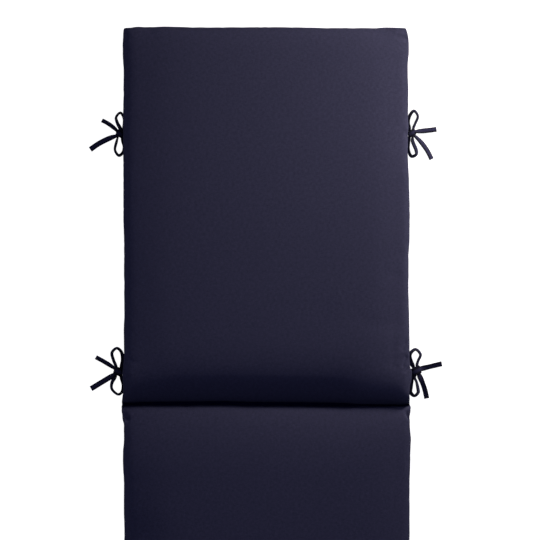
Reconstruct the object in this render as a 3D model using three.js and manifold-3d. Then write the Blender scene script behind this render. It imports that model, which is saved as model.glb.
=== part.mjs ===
// A hinged chaise lounge cushion in woven canvas, lying on its back, with four tie tapes in bows.
// Millimetres. +X is to the right of the face, +Y toward the head end, +Z up out of the face.
// The origin is on the floor under the middle of the cushion.

import * as THREE from 'three';
import Module from 'manifold-3d';
import { mergeVertices } from 'three/addons/utils/BufferGeometryUtils.js';

const wasm = await Module();
wasm.setup();

// The filled cushion
const totalLength = 1956;
const halfWidth = 293;         // centre line to the widest line of the side
const backLength = 768;        // head end to the hinge crease
const crownHeight = 75;        // floor to the face, before its soft waves
const bottomSeamHeight = 6;
const leftInset = 3.4;         // top seam inside the widest line of the left side
const rightInset = 1.6;        // the same at the right
const endInset = 3;            // the same at the head and the foot
const bottomSeamInset = 6.5;
const flatInset = 17;          // from here inward the underside lies flat
const cornerDroop = 0.4;       // how much of the ends' fall is left at a corner
const droopReach = 60;
const channelFloor = 9;        // what is left of the thickness under the hinge channel
const grooveDepth = 4;         // the hinge seen from underneath
const grooveReach = 30;
const backTight = 35;          // how far from the crease the back's roll is narrowed
const seatTight = 15;          // the same for the seat's roll
const headReach = 60;          // how far the head line's bow carries into the face
const creaseReach = 150;       // the same for the wandering crease
const cornerReach = 25;        // near a corner the side is held flat by its upright seam
const cornerBulge = 0.8;       // share of the side's bulge left at a corner
const bulgeHeight = 56;        // a side at least this high bulges fully
const bulgePower = 0.8;        // below 1, so that the side is fuller near its seams than an arc
const rimRound = 0.35;         // where the underside's rounding is a third as high as its seam

// The tie tapes
const tapeWidth = 10;
const tapeThickness = 2;
const clearance = 0.35;        // between a tie and the cushion, and between a tie and the floor
const knotRadius = { out: 7.2, along: 7.4, up: 5 };
const bandWidth = 8.5;
const bandRadius = { out: 7.2, up: 5 };
const bandSides = 20;
const knotHeight = clearance + bandRadius.up + tapeThickness / 2;
const knotStart = 1.8;         // where loops and tails begin inside the knot, each way
const rootStart = 1;           // where the sewn ends begin inside the knot
const rootSpread = 2.6;        // each sewn end's distance from their middle
const rootTuck = 1;            // how far past the bottom seam they run before they are trimmed
const tailStartLean = 0.6;     // share of a tail's lean that it has at the knot
const tailDrop = 0.4;          // share of a tail's length in which it comes down to the floor
const tapeStep = 4.5;          // length of tape between two sections
const sameSpot = 1e-4;         // points closer than this are one

// A table's columns are read along its key column.

// How far the face still rises to its crown, by the distance from a side's seam or an end's seam.
const edgeRise = {
  distance: [0, 3, 7, 11, 16, 21, 30, 40, 52, 70, 93, 130, 200, 290],
  left: [17.3, 15.3, 13.6, 12.2, 11, 10, 8.7, 7.4, 6, 4.2, 2.6, 1.3, 0.3, 0],
  right: [13, 11.2, 9.6, 8.5, 7.7, 7, 6, 5, 4.1, 3.2, 2.5, 1.8, 0.9, 0],
  end: [7, 6.2, 5.3, 4.5, 3.6, 2.9, 1.9, 1.1, 0.6, 0.3, 0.1, 0, 0, 0],
};

// How much of that fall the face has at its sides, from the head end on.
const fallShare = {
  fromHead: [0, 40, 250, 700, 860, 1956],
  left: [0.8, 0.85, 1.04, 1, 1.1, 1.1],
  right: [0.7, 0.75, 1, 1.05, 1, 1],
};

// How far the widest line of the side stands out past half the width, or with a minus inside it.
const sideLine = {
  fromHead: [0, 9, 20, 36, 52, 62, 90, 128, 190, 250, 312, 385, 435, 466, 496, 527, 588, 620, 650,
    676, 704, 732, 750, 764, 773, 781, 789, 797, 813, 838, 873, 901, 930, 980, 1915, 1956],
  left: [-2, 0.5, 0.2, 0.9, 0.6, 0.5, -2, -1.4, 0.3, 0, -0.7, -1.2, -2, -1.8, -1, -2.4, -1.8, -1.7,
    -2, -1.5, 1, 0.5, 2.5, 6, 6, 3.7, 2.7, 0, -1, -1.8, 0.8, 0.2, -1.8, -1.6, -0.5, -3],
  right: [-8, -3.6, -2.4, -0.8, -0.6, -1.8, -3.4, -2.6, -2.4, -3.2, -1.2, 0.5, 0.2, -1.6, -1.1,
    -1.8, 0.1, -0.4, 0, 0, 3, 1, 1, 2, 5, 2.4, 1.5, 1.5, 1.4, 2.9, 1.5, 1, 0.1, 0.5, 0, -3.5],
};

// How far the head end falls back from its fullest stretch.
const headLine = {
  x: [-292, -278, -265, -250, -200, -155, -115, 9, 60, 90, 131, 213, 254, 275, 292],
  back: [0.8, 0.3, -1.5, -1.3, -2.2, -0.6, -0.3, -0.8, -0.5, 0, 0.9, 0.8, -0.3, 0.3, 0],
};

// How far the hinge crease wanders toward the head.
const creaseLine = {
  x: [-292, -130, 0, 90, 190, 292],
  toHead: [-1, 2, 1, -1.5, -3, -2],
};

// The hinge channel from the seat section to the back section. toHead is the distance from the
// crease at the face, rise the share of the full thickness above the channel's floor, and under
// the distance from the crease at the underside.
const hingeRoll = {
  toHead: [-137, -105, -75, -58, -45, -36, -28, -20, -14, -10, -7.5, -5.5, -4, -2, 0, 2, 4, 7, 11,
    16, 26, 37, 47, 57, 68, 78, 98, 120, 150],
  rise: [1, 0.968, 0.911, 0.856, 0.804, 0.76, 0.714, 0.66, 0.602, 0.53, 0.41, 0.28, 0.18, 0.06, 0,
    0.06, 0.14, 0.225, 0.3, 0.375, 0.51, 0.645, 0.743, 0.82, 0.873, 0.91, 0.959, 0.985, 1],
  under: [-137, -107, -84, -72, -62, -54, -47, -40, -34, -29, -24, -19, -14, -7, 0, 7, 12, 16, 20,
    25, 32, 40, 49, 58, 68, 78, 98, 120, 150],
};

// How wide the hinge's two rolls are: narrower near the sides, and most of all at the right.
const rollWidth = {
  x: [-292, -240, -170, 60, 130, 200, 250, 292],
  back: [0.4, 0.72, 1, 1, 0.95, 0.6, 0.42, 0.2],
  seat: [0.8, 1, 1, 1, 0.9, 0.6, 0.4, 0.35],
};

// Long soft waves in the face: wave lengths along and across, where they start, and height.
const faceWaves = [
  { along: 410, across: 700, start: 0.6, height: 0.6 },
  { along: 260, across: 330, start: 2.1, height: 0.4 },
];

const waveReach = 80;          // from here inward the waves have their full height

// Distances in from a seam at which the face has a line of points.
const seamSteps = [0, 4, 10, 19, 32, 50, 74];
const wideColumn = 27;         // spacing of the lines in the middle of the face
const wideRow = 30;

// Heights of the side's lines, as shares of the way from the top seam to the bottom seam.
const sideSteps = [0.1, 0.27, 0.5, 0.73, 0.9];

// The bows. out is measured away from the cushion and along toward the head, both from the knot.
// A loop's rows run from the knot along the strand beside the cushion, round the tip and back. A
// lean is the tape's angle from standing on its edge, so that 90 lies flat. A tail's bow is how
// far its middle stands toward the head from the straight line to its end.
const bows = [
  {
    name: 'tie-left-head', side: -1, knotX: 301, fromHead: 218, rootAlong: 3,
    loops: [
      [
        { out: -6.5, along: 10, lean: 4 },
        { out: -8.2, along: 20, lean: 8 },
        { out: -8, along: 34, lean: 6 },
        { out: -1, along: 44, lean: 4 },
        { out: 6, along: 35, lean: 14 },
        { out: 4, along: 24, lean: 30 },
        { out: -2, along: 11, lean: 24 },
      ],
      [
        { out: -4.5, along: -13, lean: 10 },
        { out: -7.8, along: -24, lean: 10 },
        { out: -6, along: -35, lean: 12 },
        { out: 2, along: -42, lean: 28 },
        { out: 8, along: -31, lean: 14 },
        { out: 5.5, along: -14, lean: 10 },
      ],
    ],
    tails: [
      { endOut: 33, endAlong: 30, bow: 1.9, lean: 36 },
      { endOut: 58, endAlong: -31.5, bow: 2.9, lean: 88 },
    ],
  },
  {
    name: 'tie-right-head', side: 1, knotX: 299, fromHead: 214, rootAlong: -2,
    loops: [
      [
        { out: -4.5, along: 11, lean: 30 },
        { out: -7, along: 22, lean: 14 },
        { out: -3, along: 36, lean: 8 },
        { out: 4.5, along: 43, lean: 5 },
        { out: 11.3, along: 34, lean: 5 },
        { out: 7, along: 20, lean: 5 },
        { out: 3, along: 9, lean: 5 },
      ],
      [
        { out: -4.5, along: -14, lean: 8 },
        { out: -6.3, along: -36, lean: 14 },
        { out: -0.5, along: -47.5, lean: 38 },
        { out: 9, along: -44, lean: 26 },
        { out: 9.2, along: -36, lean: 22 },
        { out: 1.5, along: -15, lean: 26 },
      ],
    ],
    tails: [
      { endOut: 50, endAlong: 8, bow: -0.4, lean: 42 },
      { endOut: 38, endAlong: -55, bow: 3.4, lean: 40 },
    ],
  },
  {
    name: 'tie-left-hinge', side: -1, knotX: 302, fromHead: 704, rootAlong: 2,
    loops: [
      [
        { out: -4, along: 11, lean: 28 },
        { out: -6.8, along: 25, lean: 30 },
        { out: -4, along: 41, lean: 20 },
        { out: 4.2, along: 47, lean: 10 },
        { out: 11.6, along: 39, lean: 22 },
        { out: 9, along: 23, lean: 20 },
        { out: 4, along: 11, lean: 10 },
      ],
      [
        { out: -3, along: -16, lean: 8 },
        { out: -8, along: -30, lean: 12 },
        { out: -5, along: -43, lean: 12 },
        { out: 2, along: -47, lean: 14 },
        { out: 12, along: -36, lean: 22 },
        { out: 12.6, along: -24, lean: 24 },
        { out: 7, along: -12, lean: 14 },
      ],
    ],
    tails: [
      { endOut: 45.5, endAlong: 29.5, bow: 1, lean: 38 },
      { endOut: 54, endAlong: -35, bow: 0, lean: 86 },
    ],
  },
  {
    name: 'tie-right-hinge', side: 1, knotX: 308, fromHead: 703, rootAlong: 8,
    loops: [
      [
        { out: -4.5, along: 9, lean: 30 },
        { out: -10, along: 22, lean: 38 },
        { out: -9.5, along: 37, lean: 24 },
        { out: 0.3, along: 45.5, lean: 6 },
        { out: 9, along: 36, lean: 6 },
        { out: 5, along: 21, lean: 6 },
        { out: 2, along: 9, lean: 6 },
      ],
      [
        { out: -6, along: -11, lean: 24 },
        { out: -10.5, along: -30, lean: 34 },
        { out: -8, along: -45, lean: 26 },
        { out: -2, along: -50, lean: 14 },
        { out: 4, along: -41, lean: 22 },
        { out: 2, along: -27, lean: 14 },
        { out: -1, along: -12, lean: 8 },
      ],
    ],
    tails: [
      { endOut: 53, endAlong: 15, bow: 0, lean: 42 },
      { endOut: 22, endAlong: -56.5, bow: 2, lean: 44 },
    ],
  },
];

// Where a tail has its stations, as shares of its length.
const tailSteps = [0, 0.2, 0.4, 0.7, 1];

// The sewn ends, from the knot to the seam: shares of the way there, of the distance that the seam's
// place lies along from the knot, and of the full spread of the two strands.
const rootRows = [
  { reach: 0, along: 0, apart: 0.3 },
  { reach: 0.35, along: 0.45, apart: 0.7 },
  { reach: 0.7, along: 1, apart: 1 },
  { reach: 1, along: 1, apart: 1 },
];

const canvas = new THREE.MeshStandardMaterial({ color: 0x20203a, roughness: 0.85, metalness: 0 });
const tape = new THREE.MeshStandardMaterial({ color: 0x17172c, roughness: 0.8, metalness: 0 });

function ease(t) {
  return t * t * (3 - 2 * t);
}

// Value of a table's column at a place along its key column, eased from row to row.
function readTable(table, key, column, at) {
  const places = table[key];
  const values = table[column];
  if (at <= places[0]) return values[0];
  if (at >= places.at(-1)) return values.at(-1);
  const i = places.findIndex((place) => place > at) - 1;
  const share = (at - places[i]) / (places[i + 1] - places[i]);
  return values[i] + (values[i + 1] - values[i]) * ease(share);
}

// The same, but straight from row to row.
function readStraight(table, key, column, at) {
  const places = table[key];
  const values = table[column];
  if (at <= places[0]) return values[0];
  if (at >= places.at(-1)) return values.at(-1);
  const i = places.findIndex((place) => place > at) - 1;
  const share = (at - places[i]) / (places[i + 1] - places[i]);
  return values[i] + (values[i + 1] - values[i]) * share;
}

// The lines across the width: fixed distances from a side seam, then even shares between.
function faceColumns() {
  const inner = seamSteps.at(-1);
  const middle = 2 * halfWidth - leftInset - rightInset - 2 * inner;
  const count = Math.round(middle / wideColumn);
  const columns = seamSteps.map((distance) => ({ fromLeft: distance }));
  for (let i = 1; i < count; i += 1) columns.push({ share: i / count });
  for (const distance of [...seamSteps].reverse()) columns.push({ fromRight: distance });
  return columns;
}

// The rows along the length, from head to foot. at is the distance from the head end at the face,
// and below the same at the underside.
function faceRows() {
  const rows = [];
  const plainRow = (at) => ({ at, below: at });
  const even = (start, end) => {
    const count = Math.round((end - start) / wideRow);
    for (let i = 1; i < count; i += 1) rows.push(plainRow(start + ((end - start) * i) / count));
  };
  const headSeam = endInset;
  const footSeam = totalLength - endInset;
  for (const step of seamSteps) rows.push(plainRow(headSeam + step));
  even(headSeam + seamSteps.at(-1), backLength - hingeRoll.toHead.at(-1));
  for (let k = hingeRoll.toHead.length - 1; k >= 0; k -= 1) {
    rows.push({ at: backLength - hingeRoll.toHead[k], below: backLength - hingeRoll.under[k] });
  }
  even(backLength - hingeRoll.toHead[0], footSeam - seamSteps.at(-1));
  for (const step of [...seamSteps].reverse()) rows.push(plainRow(footSeam - step));
  return rows;
}

// How strongly a place near the head or the hinge follows the head line or the crease line.
function nearShare(distance, reach) {
  return ease(Math.max(0, 1 - Math.abs(distance) / reach));
}

// Distance from the centre line to the widest line of one side.
function sideAt(which, fromHead) {
  return halfWidth + readTable(sideLine, 'fromHead', which, fromHead);
}

// How far from the crease a place in the roll counts, where the rolls are narrower near the sides.
function rollPlace(x, toHead) {
  const part = toHead > 0 ? 'back' : 'seat';
  const tight = toHead > 0 ? backTight : seatTight;
  const narrow = 1 / readTable(rollWidth, 'x', part, x) - 1;
  return toHead + Math.sign(toHead) * tight * (1 - Math.exp(-Math.abs(toHead) / tight)) * narrow;
}

// One point of the face.
function facePoint(row, column) {
  const left = leftInset - sideAt('left', row.at);
  const right = sideAt('right', row.at) - rightInset;
  let x = left + column.fromLeft;
  if (column.fromRight !== undefined) x = right - column.fromRight;
  if (column.share !== undefined) {
    const inner = seamSteps.at(-1);
    x = left + inner + (right - left - 2 * inner) * column.share;
  }
  const headBack = readTable(headLine, 'x', 'back', x) * nearShare(row.at, headReach);
  const toHead = backLength - row.at;
  const creasePull = readTable(creaseLine, 'x', 'toHead', x) * nearShare(toHead, creaseReach);
  const y = totalLength / 2 - row.at - headBack + creasePull;
  const fromSide = Math.min(x - left, right - x);
  const nearer = x - left < right - x ? 'left' : 'right';
  const sideShare = readTable(fallShare, 'fromHead', nearer, row.at);
  const sideFall = readStraight(edgeRise, 'distance', nearer, fromSide) * sideShare;
  const fromEnd = Math.min(row.at, totalLength - row.at) - endInset;
  const droop = cornerDroop + (1 - cornerDroop) * ease(Math.min(fromSide / droopReach, 1));
  const endFall = readStraight(edgeRise, 'distance', 'end', fromEnd) * droop;
  let z = crownHeight - sideFall - endFall;
  const inside = Math.min(fromSide, fromEnd, waveReach) / waveReach;
  for (const wave of faceWaves) {
    const along = Math.sin((2 * Math.PI * row.at) / wave.along + wave.start);
    const across = Math.cos((2 * Math.PI * x) / wave.across - wave.start);
    z += wave.height * along * across * ease(inside);
  }
  const rise = readStraight(hingeRoll, 'toHead', 'rise', rollPlace(x, toHead));
  z = channelFloor + (z - channelFloor) * rise;
  return new THREE.Vector3(x, y, z);
}

// The edge of the face as one loop, clockwise from above, with the way out at each point.
function seamLoop(grid, rows) {
  const lastRow = grid.length - 1;
  const lastColumn = grid[0].length - 1;
  const loop = [];
  const add = (j, i) => {
    const outX = i === 0 ? -1 : Number(i === lastColumn);
    const outY = j === 0 ? 1 : -Number(j === lastRow);
    loop.push({ j, i, outX, outY, row: rows[j], top: grid[j][i] });
  };
  for (let i = 0; i <= lastColumn; i += 1) add(0, i);
  for (let j = 1; j <= lastRow; j += 1) add(j, lastColumn);
  for (let i = lastColumn - 1; i >= 0; i -= 1) add(lastRow, i);
  for (let j = lastRow - 1; j > 0; j -= 1) add(j, 0);
  return loop;
}

// How much the side bulges at a place on the loop: little at the corners and in the hinge notch.
function bulgeAt(place) {
  const top = place.top;
  const toCorner = place.outY === 0
    ? Math.min(place.row.at, totalLength - place.row.at)
    : halfWidth - Math.abs(top.x);
  const along = ease(Math.min(Math.max(toCorner, 0) / cornerReach, 1));
  const corner = cornerBulge + (1 - cornerBulge) * along;
  const height = (top.z - bottomSeamHeight) / (bulgeHeight - bottomSeamHeight);
  const sideInset = top.x < 0 ? leftInset : rightInset;
  const inset = place.outX === 0 ? endInset : sideInset;
  const middle = inset + (bottomSeamInset - endInset) / 2;
  return middle * corner * Math.min(height, 1);
}

// A point of the side or the underside's rim. The whole loop shrinks by the inset both ways, so
// that its corners stay square.
function rimPoint(place, inset, height) {
  const toCrease = place.row.below - backLength;
  const groove = grooveDepth * nearShare(toCrease, grooveReach);
  const shift = place.row.below - place.row.at;
  const x = place.top.x * (1 - inset / halfWidth);
  const y = (place.top.y - shift) * (1 - (2 * inset) / totalLength);
  return new THREE.Vector3(x, y, height + groove);
}

function sideRings(loop) {
  const down = bottomSeamInset - endInset;
  const bottom = loop.map((place) => rimPoint(place, down, bottomSeamHeight));
  const rings = [loop.map((place) => place.top)];
  for (const step of sideSteps) {
    rings.push(loop.map((place, k) => {
      const point = place.top.clone().lerp(bottom[k], step);
      const bulge = bulgeAt(place) * Math.sin(Math.PI * step) ** bulgePower;
      point.x += place.outX * bulge;
      point.y += place.outY * bulge;
      return point;
    }));
  }
  rings.push(bottom);
  const roundInset = down + (flatInset - bottomSeamInset) * rimRound;
  rings.push(loop.map((place) => rimPoint(place, roundInset, bottomSeamHeight / 3)));
  rings.push(loop.map((place) => rimPoint(place, flatInset - endInset, 0)));
  return rings;
}

function geometryFrom(points, faces) {
  const geometry = new THREE.BufferGeometry();
  const values = new Float32Array(points.flatMap((point) => [point.x, point.y, point.z]));
  geometry.setAttribute('position', new THREE.BufferAttribute(values, 3));
  geometry.setIndex(faces);
  return geometry;
}

function cushionGeometry() {
  const columns = faceColumns();
  const rows = faceRows();
  const grid = rows.map((row) => columns.map((column) => facePoint(row, column)));
  const loop = seamLoop(grid, rows);
  const rings = sideRings(loop);
  const width = columns.length;
  const points = grid.flat();
  const faces = [];
  const quad = (a, b, c, d) => faces.push(a, b, c, a, c, d);

  for (let j = 0; j + 1 < rows.length; j += 1) {
    for (let i = 0; i + 1 < width; i += 1) {
      const a = j * width + i;
      quad(a, a + width, a + width + 1, a + 1);
    }
  }

  let upper = loop.map((place) => place.j * width + place.i);
  for (const ring of rings.slice(1)) {
    const lower = ring.map((point) => points.push(point) - 1);
    upper.forEach((a, k) => {
      const next = (k + 1) % upper.length;
      quad(a, upper[next], lower[next], lower[k]);
    });
    upper = lower;
  }

  // The underside: strips from side to side, and a fan along each end.
  const at = new Map(loop.map((place, k) => [`${place.j},${place.i}`, upper[k]]));
  const rim = (j, i) => at.get(`${j},${i}`);
  const lastRow = rows.length - 1;
  const right = width - 1;
  for (let i = 0; i < right; i += 1) {
    faces.push(rim(0, i), rim(0, i + 1), rim(1, 0));
    faces.push(rim(lastRow, i + 1), rim(lastRow, i), rim(lastRow - 1, right));
  }
  faces.push(rim(0, right), rim(1, right), rim(1, 0));
  faces.push(rim(lastRow, 0), rim(lastRow - 1, 0), rim(lastRow - 1, right));
  for (let j = 1; j + 1 < lastRow; j += 1) {
    quad(rim(j, 0), rim(j, right), rim(j + 1, right), rim(j + 1, 0));
  }
  return geometryFrom(points, faces);
}

// A flat tape along a curve. Each station gives a point and the tape's lean from standing up.
function tapeGeometry(stations) {
  const path = new THREE.CatmullRomCurve3(stations.map((s) => s.point), false, 'centripetal');
  const leans = stations.map((s, k) => new THREE.Vector3(s.lean, k, 0));
  const leanPath = new THREE.CatmullRomCurve3(leans, false, 'catmullrom');
  const steps = Math.max(4, Math.round(path.getLength() / tapeStep));
  const up = new THREE.Vector3(0, 0, 1);
  const points = [];
  for (let k = 0; k <= steps; k += 1) {
    const t = k / steps;
    const along = path.getTangent(t);
    const across = new THREE.Vector3().crossVectors(along, up).normalize();
    const upright = new THREE.Vector3().crossVectors(across, along);
    const lean = THREE.MathUtils.degToRad(leanPath.getPoint(t).x);
    const wide = upright.clone().multiplyScalar(Math.cos(lean));
    wide.addScaledVector(across, Math.sin(lean)).multiplyScalar(tapeWidth / 2);
    const thick = new THREE.Vector3().crossVectors(along, wide).setLength(tapeThickness / 2);
    const centre = path.getPoint(t);
    for (const [a, b] of [[1, 1], [1, -1], [-1, -1], [-1, 1]]) {
      points.push(centre.clone().addScaledVector(wide, a).addScaledVector(thick, b));
    }
  }
  const faces = [];
  const quad = (a, b, c, d) => faces.push(a, b, c, a, c, d);
  for (let k = 0; k < steps; k += 1) {
    for (let c = 0; c < 4; c += 1) {
      const next = (c + 1) % 4;
      const here = k * 4;
      const there = here + 4;
      quad(here + c, there + c, there + next, here + next);
    }
  }
  const end = steps * 4;
  quad(0, 1, 2, 3);
  quad(end + 3, end + 2, end + 1, end);
  return geometryFrom(points, faces);
}

function solidFrom(geometry) {
  const bare = geometry.clone();
  bare.deleteAttribute('normal');
  bare.deleteAttribute('uv');
  const merged = mergeVertices(bare, sameSpot);
  const vertProperties = new Float32Array(merged.attributes.position.array);
  const triVerts = new Uint32Array(merged.index.array);
  return new wasm.Manifold(new wasm.Mesh({ numProp: 3, vertProperties, triVerts }));
}

function geometryOf(solid) {
  const mesh = solid.getMesh();
  const geometry = new THREE.BufferGeometry();
  geometry.setAttribute('position', new THREE.BufferAttribute(mesh.vertProperties, 3));
  geometry.setIndex(new THREE.BufferAttribute(mesh.triVerts, 1));
  return geometry;
}

// Height of a leaning tape's middle when its lower edge is just off the floor.
function restHeight(lean) {
  const angle = THREE.MathUtils.degToRad(lean);
  return clearance + (tapeWidth * Math.cos(angle) + tapeThickness * Math.sin(angle)) / 2;
}

// A loop, from inside the knot through its rows and back into the knot.
function loopStations(rows) {
  const toTip = Math.sign(rows[0].along);
  const start = { out: -knotStart, along: toTip * knotStart, lean: 0 };
  const end = { out: knotStart, along: toTip * knotStart, lean: 0 };
  return [start, ...rows, end].map((row) => ({
    point: new THREE.Vector3(row.out, row.along, restHeight(row.lean)),
    lean: row.lean * toTip,
  }));
}

// A tail: from under the knot's band down to the floor and out to its square-cut end.
function tailStations(tail) {
  const start = new THREE.Vector2(knotStart, Math.sign(tail.endAlong) * knotStart);
  const end = new THREE.Vector2(tail.endOut, tail.endAlong);
  const chord = end.clone().sub(start).normalize();
  const middle = start.clone().lerp(end, 0.5);
  middle.addScaledVector(new THREE.Vector2(-chord.y, chord.x), 2 * tail.bow);
  const curve = new THREE.QuadraticBezierCurve(start, middle, end);
  return tailSteps.map((t) => {
    const spot = curve.getPoint(t);
    const settled = ease(Math.min(t / tailDrop, 1));
    const lean = tail.lean * (tailStartLean + (1 - tailStartLean) * settled);
    const rest = restHeight(lean);
    const height = Math.max(knotHeight + (rest - knotHeight) * settled, rest);
    return { point: new THREE.Vector3(spot.x, spot.y, height), lean };
  });
}

// The fold that the side seam holds: two strands, one each way from its middle, that meet in the
// knot.
function rootStations(bow, turn) {
  const reach = bow.knotX - bow.sideX + bottomSeamInset + rootTuck;
  return rootRows.map((row) => {
    const along = bow.rootAlong * row.along + turn * rootSpread * row.apart;
    const out = rootStart - (rootStart + reach) * row.reach;
    return { point: new THREE.Vector3(out, along, restHeight(0)), lean: 0 };
  });
}

// The band that is drawn round the middle of the bow, a turned ring made oval.
function bandGeometry() {
  const inner = bandRadius.up - tapeThickness / 2;
  const outer = bandRadius.up + tapeThickness / 2;
  const half = bandWidth / 2;
  const corners = [[inner, -half], [outer, -half], [outer, half], [inner, half], [inner, -half]];
  const band = new THREE.LatheGeometry(corners.map(([r, y]) => new THREE.Vector2(r, y)), bandSides);
  band.scale(bandRadius.out / bandRadius.up, 1, 1);
  band.translate(0, 0, knotHeight);
  return band;
}

function knotCore() {
  const core = new THREE.SphereGeometry(1, bandSides, bandSides / 2);
  core.scale(knotRadius.out, knotRadius.along, knotRadius.up);
  core.translate(0, 0, knotHeight);
  return core;
}

// The cushion again, a clearance larger, to trim the ties' sewn ends to its side.
function grownCushion() {
  const grown = cushionGeometry();
  grown.computeVertexNormals();
  const position = grown.attributes.position;
  const normal = grown.attributes.normal;
  for (let k = 0; k < position.count; k += 1) {
    const point = new THREE.Vector3().fromBufferAttribute(position, k);
    point.addScaledVector(new THREE.Vector3().fromBufferAttribute(normal, k), clearance);
    position.setXYZ(k, point.x, point.y, point.z);
  }
  return solidFrom(grown);
}

function tieSolid(bow, trimmer) {
  const sideX = sideAt(bow.side < 0 ? 'left' : 'right', bow.fromHead);
  const placed = { ...bow, sideX };
  const pieces = [
    knotCore(),
    bandGeometry(),
    ...bow.loops.map((loop) => tapeGeometry(loopStations(loop))),
    ...bow.tails.map((tail) => tapeGeometry(tailStations(tail))),
    tapeGeometry(rootStations(placed, 1)),
    tapeGeometry(rootStations(placed, -1)),
  ];
  const place = new THREE.Matrix4();
  place.makeTranslation(bow.side * bow.knotX, totalLength / 2 - bow.fromHead, 0);
  if (bow.side < 0) place.multiply(new THREE.Matrix4().makeScale(-1, 1, 1));
  const solids = pieces.map((geometry) => {
    const moved = geometry.clone().applyMatrix4(place);
    if (bow.side < 0) moved.index.array.reverse();
    return solidFrom(moved);
  });
  const joined = solids.reduce((sum, solid) => sum.add(solid));
  return joined.subtract(trimmer);
}

const cushion = new THREE.Mesh(cushionGeometry(), canvas);
cushion.name = 'cushion';

const part = new THREE.Group();
part.add(cushion);
const trimmer = grownCushion();
for (const bow of bows) {
  const tie = new THREE.Mesh(geometryOf(tieSolid(bow, trimmer)), tape.clone());
  tie.name = bow.name;
  part.add(tie);
}

export default part;
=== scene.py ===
import math

import bpy
import numpy as np
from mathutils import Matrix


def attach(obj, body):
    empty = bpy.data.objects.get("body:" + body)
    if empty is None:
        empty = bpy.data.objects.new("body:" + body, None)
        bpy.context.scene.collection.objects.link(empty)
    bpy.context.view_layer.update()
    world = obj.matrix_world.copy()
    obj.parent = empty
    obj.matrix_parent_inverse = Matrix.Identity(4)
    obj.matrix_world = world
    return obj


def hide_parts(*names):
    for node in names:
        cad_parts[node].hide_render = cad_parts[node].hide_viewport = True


# A hinged chaise lounge cushion in navy canvas, lying on its back, with its ties in bows.
# Metres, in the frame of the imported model: +X right, +Y to the head end, +Z up out of the face.

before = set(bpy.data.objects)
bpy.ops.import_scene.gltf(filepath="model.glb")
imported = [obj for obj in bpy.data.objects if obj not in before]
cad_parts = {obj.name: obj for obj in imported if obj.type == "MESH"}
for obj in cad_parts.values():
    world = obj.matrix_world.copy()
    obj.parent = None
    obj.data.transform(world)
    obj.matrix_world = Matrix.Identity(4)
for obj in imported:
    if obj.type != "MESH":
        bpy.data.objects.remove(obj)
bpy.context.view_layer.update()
mm = 0.001
scene = bpy.context.scene
print("frame loaded:", ", ".join(sorted(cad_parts)))


# Camera: straight above the back section, from far off so that the view has next to no perspective.
cameraSettings = {
    "fieldWidth": 1104.8 * mm,     # the width of the cushion's plane that the picture takes in
    "planeHeight": 45 * mm,
    "distance": 8.0,
    "pictureMiddle": (7.6 * mm, 482.7 * mm),
    "sensor": 36.0,
    "farthest": 100.0,
}


def placeCamera(s):
    data = bpy.data.cameras.new("camera")
    data.sensor_width = s["sensor"]
    data.lens = s["sensor"] * s["distance"] / s["fieldWidth"]
    data.clip_end = s["farthest"]
    camera = bpy.data.objects.new("camera", data)
    camera.location = (*s["pictureMiddle"], s["planeHeight"] + s["distance"])
    scene.collection.objects.link(camera)
    scene.camera = camera


placeCamera(cameraSettings)


# Sets a node's inputs, by name or number: a socket is linked, and a colour has three values.
def feed(tree, node, inputs):
    for name, value in inputs.items():
        target = node.inputs[name]
        if isinstance(value, bpy.types.NodeSocket):
            tree.links.new(value, target)
        else:
            target.default_value = (*value, 1) if target.type == "RGBA" else value


def addNode(tree, kind, inputs=None, **settings):
    node = tree.nodes.new("ShaderNode" + kind)
    for name, value in settings.items():
        setattr(node, name, value)
    feed(tree, node, inputs or {})
    return node


# Studio: a floor seen as white, a low soft lamp at the head's right, a wide one overhead, a faint sky.
studio = {
    "floorSize": 80.0,
    "floorColour": (0.35, 0.35, 0.35),
    "floorRoughness": 0.9,
    "floorSpecular": 0.1,
    "floorGlow": 0.05,             # what the floor gives to the cushion
    "floorSeen": 1.0,              # what the camera sees of its glow
    "skyColour": (0.622, 0.647, 1.0),
    "skyLight": 0.228,
    "skySeen": 1.0,
}

lamps = [
    {"name": "overhead", "place": (0.50, 0.60, 3.20), "aim": (0.0, 0.20, 0.0), "size": 2.2,
     "power": 22.7, "colour": (0.647, 0.671, 1.0)},
    {"name": "key", "place": (0.90, 1.25, 0.38), "aim": (0.0, 0.30, 0.05), "size": 0.45,
     "power": 23.1, "colour": (1.0, 0.912, 0.848)},
]


def addLamp(s):
    data = bpy.data.lights.new(s["name"], "AREA")
    data.shape = "DISK"
    data.size = s["size"]
    data.energy = s["power"]
    data.color = s["colour"]
    lamp = bpy.data.objects.new(s["name"], data)
    lamp.location = s["place"]
    away = [a - b for a, b in zip(s["place"], s["aim"])]
    lamp.rotation_euler = (math.atan2(math.hypot(away[0], away[1]), away[2]), 0,
                           math.atan2(away[0], -away[1]))
    scene.collection.objects.link(lamp)


def addFloor(s):
    bpy.ops.mesh.primitive_plane_add(size=s["floorSize"])
    floor = bpy.context.object
    floor.name = "floor"
    material = bpy.data.materials.new("floor")
    material.use_nodes = True
    tree = material.node_tree
    glow = addNode(tree, "MapRange", {
        "Value": addNode(tree, "LightPath").outputs["Is Camera Ray"],
        "To Min": s["floorGlow"], "To Max": s["floorSeen"],
    })
    feed(tree, tree.nodes["Principled BSDF"], {
        "Base Color": s["floorColour"], "Roughness": s["floorRoughness"],
        "Specular IOR Level": s["floorSpecular"],
        "Emission Color": (1, 1, 1), "Emission Strength": glow.outputs["Result"],
    })
    floor.data.materials.append(material)


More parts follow.
